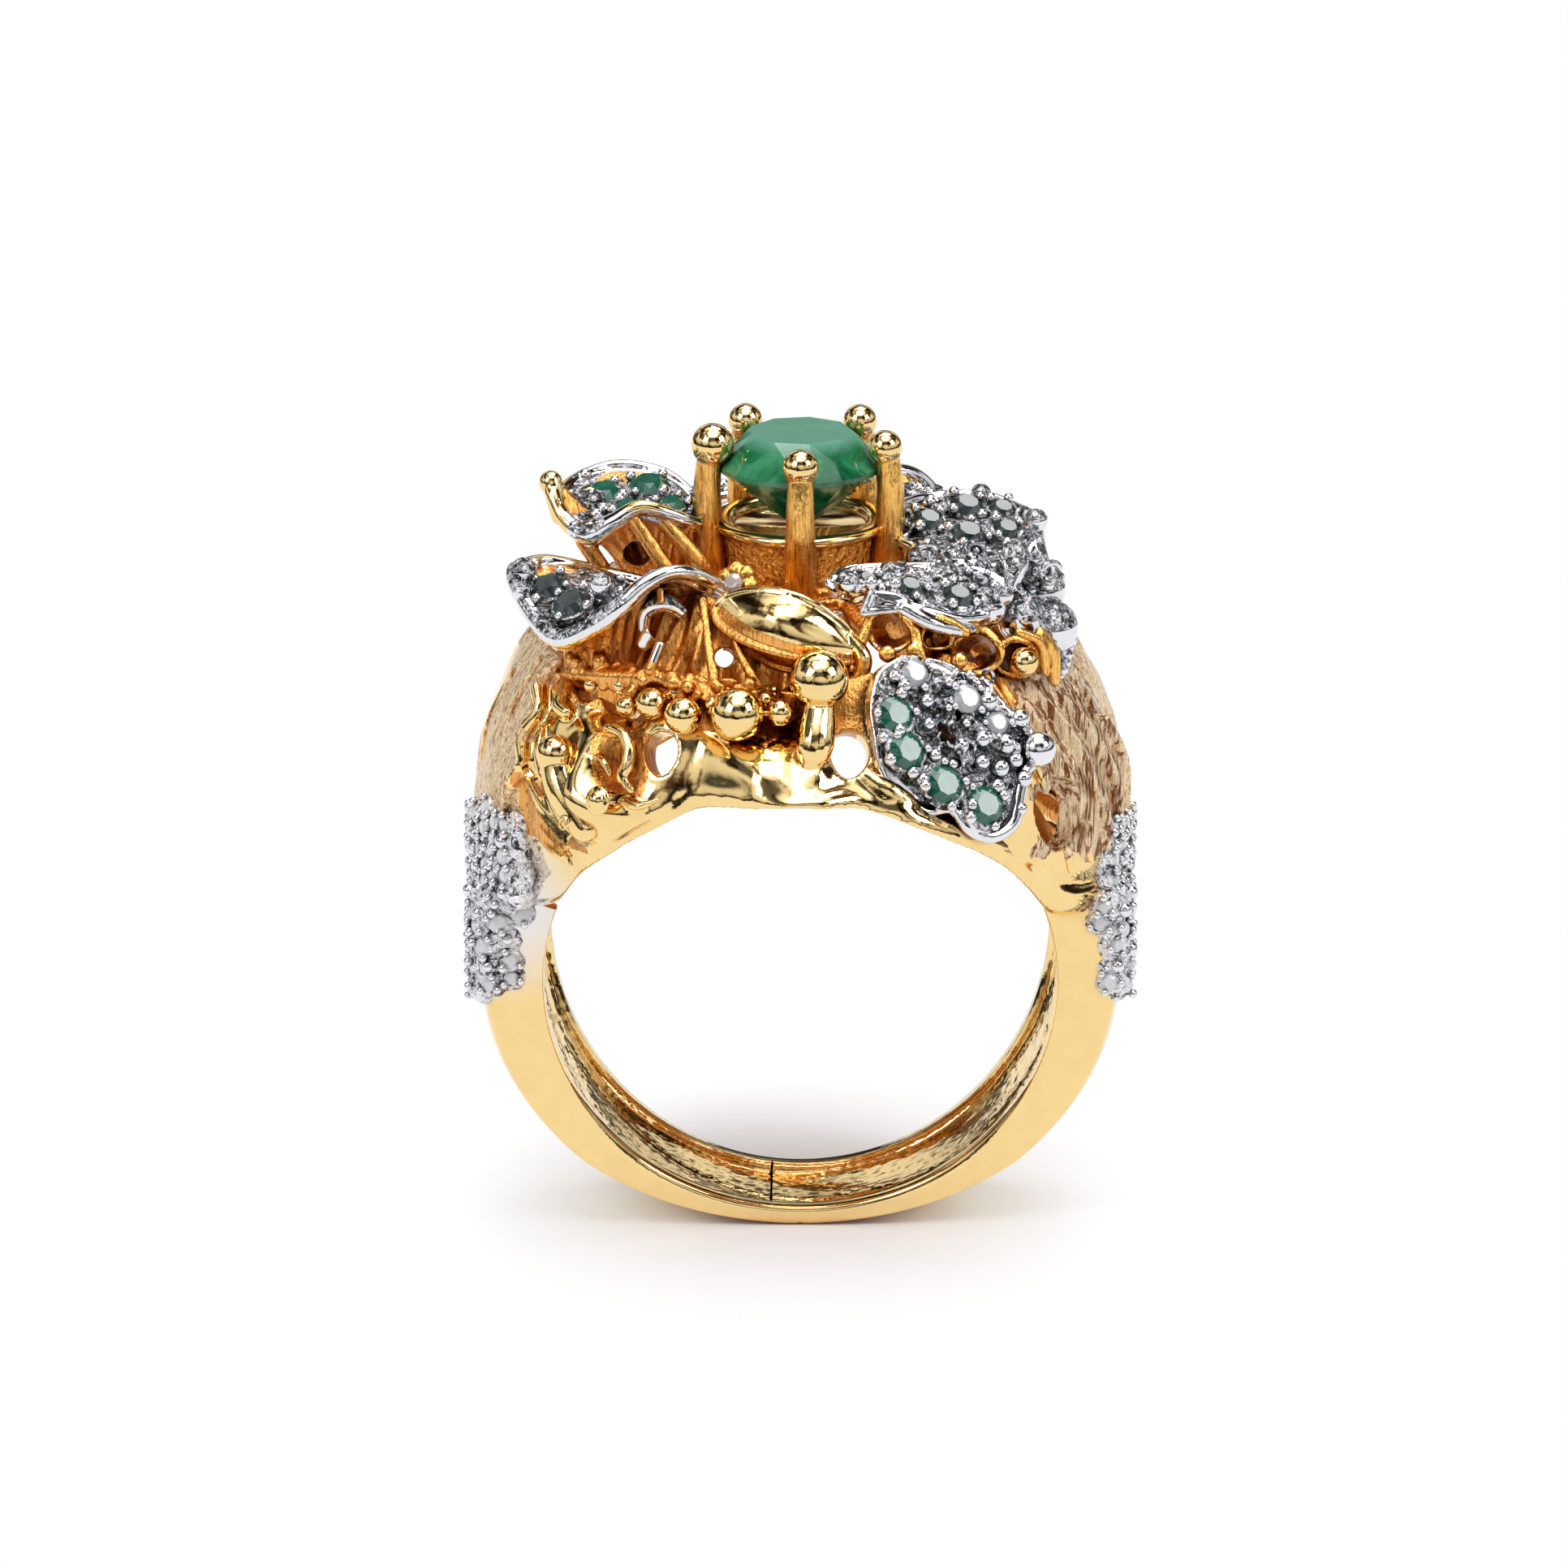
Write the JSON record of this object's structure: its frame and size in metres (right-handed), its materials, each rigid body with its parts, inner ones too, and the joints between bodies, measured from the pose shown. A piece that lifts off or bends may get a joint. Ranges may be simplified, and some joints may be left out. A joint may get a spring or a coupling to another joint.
{
  "type": "cocktail ring",
  "caption": "Cocktail ring with a domed openwork head, a round centre stone in claws, petals and leaves set with small stones, and a plain tapering shank.",
  "frame": {"origin": "centre of the finger hole, halfway through the band's width", "axes": "+Y along the finger through the hole, +Z from the finger up to the centre stone, +X to the wearer's right when the front leaf faces the viewer"},
  "size_m": [0.0236, 0.0214, 0.0277],
  "materials": {
    "polished_gold": "mirror polished warm yellow gold colour",
    "textured_gold": "grained and brushed warm yellow gold colour",
    "white_metal": "polished rhodium-plated white metal",
    "emerald": "cloudy green cut stone, polished facets",
    "green_stone": "small dark green faceted stone",
    "grey_stone": "small dark grey-green faceted stone",
    "clear_stone": "small clear faceted stone"
  },
  "bodies": {
    "root": {"shank_left": "polished_gold", "shank_right": "polished_gold", "bore_bridge": "polished_gold", "shoulder_left": "textured_gold", "shoulder_right": "textured_gold", "gallery_front": "polished_gold", "gallery_back": "polished_gold", "strut_spider": "textured_gold", "basket_foot_hoop": "polished_gold", "basket_collar": "textured_gold", "basket_top_hoop": "polished_gold", "claw_front": "polished_gold", "claw_right": "polished_gold", "claw_back_right": "polished_gold", "claw_back_left": "polished_gold", "claw_left": "polished_gold", "centre_stone": "emerald", "petal_upper_left": "white_metal", "petal_lower_left": "white_metal", "petal_back_left": "white_metal", "petal_back_right": "white_metal", "leaf_upper_right": "white_metal", "leaf_mid_right": "white_metal", "leaf_front_right": "white_metal", "leaf_back": "white_metal", "cup_upper_left": "polished_gold", "cup_lower_left": "polished_gold", "cup_upper_right": "polished_gold", "cup_mid_right": "polished_gold", "cup_back_left": "polished_gold", "cup_back_right": "polished_gold", "scroll_front": "polished_gold", "scroll_right": "polished_gold", "scroll_back": "polished_gold", "boss_front": "polished_gold", "boss_stone": "clear_stone", "berries_front": "polished_gold", "berries_back": "polished_gold", "knob_left": "polished_gold", "pave_leaf_left": "white_metal", "pave_leaf_right": "white_metal", "pave_stones_left": "clear_stone", "pave_stones_right": "clear_stone", "green_stones_upper_left": "green_stone", "grey_stones_lower_left": "grey_stone", "grey_stones_upper_right": "grey_stone", "grey_stones_mid_right": "grey_stone", "green_stones_front": "green_stone", "clear_stones_front": "clear_stone", "green_stones_back_left": "green_stone", "grey_stones_back_right": "grey_stone", "green_stones_back": "green_stone", "beads_upper_left": "white_metal", "beads_lower_left": "white_metal", "beads_upper_right": "white_metal", "beads_mid_right": "white_metal", "beads_front": "white_metal", "beads_back": "white_metal", "beads_back_left": "white_metal", "beads_back_right": "white_metal"}
  },
  "joints": []
}
